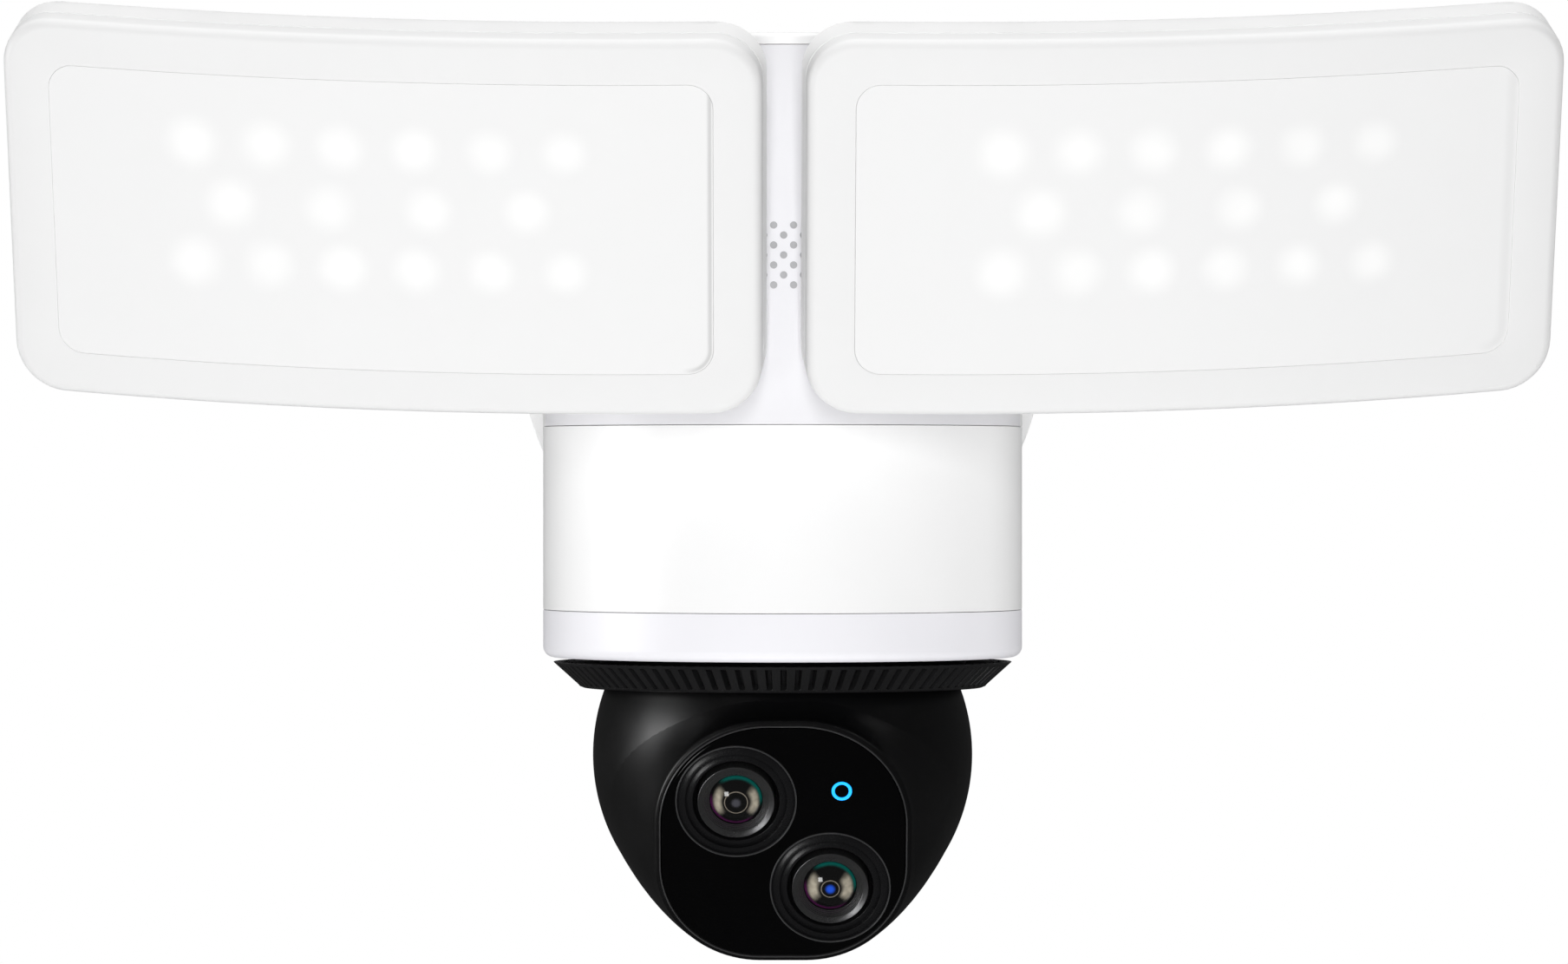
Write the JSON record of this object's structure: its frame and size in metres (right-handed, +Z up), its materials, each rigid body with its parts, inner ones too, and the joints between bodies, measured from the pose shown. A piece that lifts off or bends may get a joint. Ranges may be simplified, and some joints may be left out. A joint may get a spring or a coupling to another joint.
{
  "type": "floodlight security camera",
  "caption": "Wall floodlight security camera: a white column with two adjustable light panels and a black panning, tilting ball with two lenses.",
  "frame": {"origin": "centre of the mounting bracket's back face, on the wall", "axes": "+X to the viewer's right along the two light panels, +Y into the wall, +Z up"},
  "size_m": [0.368, 0.1935, 0.2313],
  "materials": {
    "foam_gasket": "matte foam",
    "zinc_steel": "satin zinc plate",
    "shell_white": "satin gloss",
    "cool_white": "satin, slightly cool white",
    "panel_white": "fine satin",
    "cast_white": "powder coat",
    "opal_diffuser": "frosted opal",
    "bright_screw": "nickel plate",
    "black_rubber": "matte",
    "terminal_ivory": "matte",
    "speaker_metal": "satin",
    "speaker_paper": "matte pulp",
    "circuit_board": "solder mask",
    "led_substrate": "white solder mask",
    "bare_aluminium": "mill finish",
    "antenna_brass": "satin",
    "motor_can": "drawn steel",
    "card_plastic": "matte",
    "gear_nylon": "natural nylon",
    "vent_black": "fine grain",
    "ball_black": "satin",
    "face_gloss": "polished",
    "bezel_black": "satin gloss",
    "barrel_dark": "black anodised",
    "lens_glass": "coated",
    "status_blue": "lit light guide"
  },
  "bodies": {
    "base": {"wall_gasket": "foam_gasket", "mounting_bracket": "zinc_steel", "wall_plate": "shell_white", "plate_nuts": "bright_screw", "cable_grommet": "black_rubber", "terminal_block": "terminal_ivory", "rear_shell": "shell_white", "front_cover": "cool_white", "top_cap": "shell_white", "lower_shell": "shell_white", "trim_ring": "cool_white", "cover_seal": "foam_gasket", "speaker_frame": "speaker_metal", "speaker_cone": "speaker_paper", "power_board": "circuit_board", "main_board": "circuit_board", "heat_spreader": "bare_aluminium", "wifi_antennas": "antenna_brass", "chassis_plate": "zinc_steel", "pan_motor": "motor_can", "pan_bearing": "antenna_brass", "shell_screws": "bright_screw", "memory_card": "card_plastic"},
    "sync_button": {"sync_button": "black_rubber"},
    "card_plug": {"card_plug": "black_rubber"},
    "pan_pinion": {"pan_pinion": "gear_nylon"},
    "turret": {"vent_ring": "vent_black", "turret_cup": "vent_black", "pan_gear": "gear_nylon", "hub_retainer": "bright_screw", "yoke_arms": "zinc_steel", "tilt_motor": "motor_can"},
    "tilt_pinion": {"tilt_pinion": "gear_nylon"},
    "head": {"head_front_shell": "ball_black", "head_rear_shell": "ball_black", "face_trim": "ball_black", "face_plate": "face_gloss", "wide_bezel": "bezel_black", "tele_bezel": "bezel_black", "wide_barrel": "barrel_dark", "tele_barrel": "barrel_dark", "wide_glass": "lens_glass", "tele_glass": "lens_glass", "status_ring": "status_blue", "sensor_board": "circuit_board", "tilt_gear": "gear_nylon", "tilt_axles": "bright_screw"},
    "left_arm": {"left_knuckle": "shell_white", "left_swing_pin": "bright_screw"},
    "left_light": {"left_housing": "cast_white", "left_front_frame": "panel_white", "left_diffuser": "opal_diffuser", "left_led_board": "led_substrate"},
    "right_arm": {"right_knuckle": "shell_white", "right_swing_pin": "bright_screw"},
    "right_light": {"right_housing": "cast_white", "right_front_frame": "panel_white", "right_diffuser": "opal_diffuser", "right_led_board": "led_substrate"}
  },
  "joints": [
    {"name": "head_pan", "type": "hinge", "parent": "base", "child": "turret", "pos_m": [0, -0.078, -0.05], "axis": [0, 0, 1], "range_deg": [-178, 178]},
    {"name": "pan_pinion_spin", "type": "hinge", "parent": "base", "child": "pan_pinion", "pos_m": [-0.02652, -0.05148, -0.0495], "axis": [0, 0, 1], "range_deg": [-716, 716]},
    {"name": "head_tilt", "type": "hinge", "parent": "turret", "child": "head", "pos_m": [0, -0.078, -0.1035], "axis": [1, 0, 0], "range_deg": [-5, 68]},
    {"name": "tilt_pinion_spin", "type": "hinge", "parent": "turret", "child": "tilt_pinion", "pos_m": [0.0295, -0.078, -0.0855], "axis": [1, 0, 0], "range_deg": [-206, 26]},
    {"name": "sync_press", "type": "slide", "parent": "base", "child": "sync_button", "axis": [-0.9063, -0.4226, 0], "range_m": [0, 0.0012], "stiffness_N_per_m": 300, "springref_m": -0.001},
    {"name": "card_plug_pull", "type": "slide", "parent": "base", "child": "card_plug", "axis": [0.9063, 0.4226, 0], "range_m": [0, 0.006]},
    {"name": "left_light_tilt", "type": "hinge", "parent": "base", "child": "left_arm", "pos_m": [-0.0735, -0.088, 0.03], "axis": [1, 0, 0], "range_deg": [-30, 8]},
    {"name": "left_light_swing", "type": "hinge", "parent": "left_arm", "child": "left_light", "pos_m": [-0.07528, -0.13862, 0.02548], "axis": [0, 0.3859, -0.9225], "range_deg": [-3, 45]},
    {"name": "right_light_tilt", "type": "hinge", "parent": "base", "child": "right_arm", "pos_m": [0.0735, -0.088, 0.03], "axis": [1, 0, 0], "range_deg": [-30, 8]},
    {"name": "right_light_swing", "type": "hinge", "parent": "right_arm", "child": "right_light", "pos_m": [0.07528, -0.13862, 0.02548], "axis": [0, -0.3859, 0.9225], "range_deg": [-3, 45]}
  ],
  "couplings": [
    {"joint": "pan_pinion_spin", "follows": "head_pan", "ratio": -4},
    {"joint": "tilt_pinion_spin", "follows": "head_tilt", "ratio": -3}
  ]
}
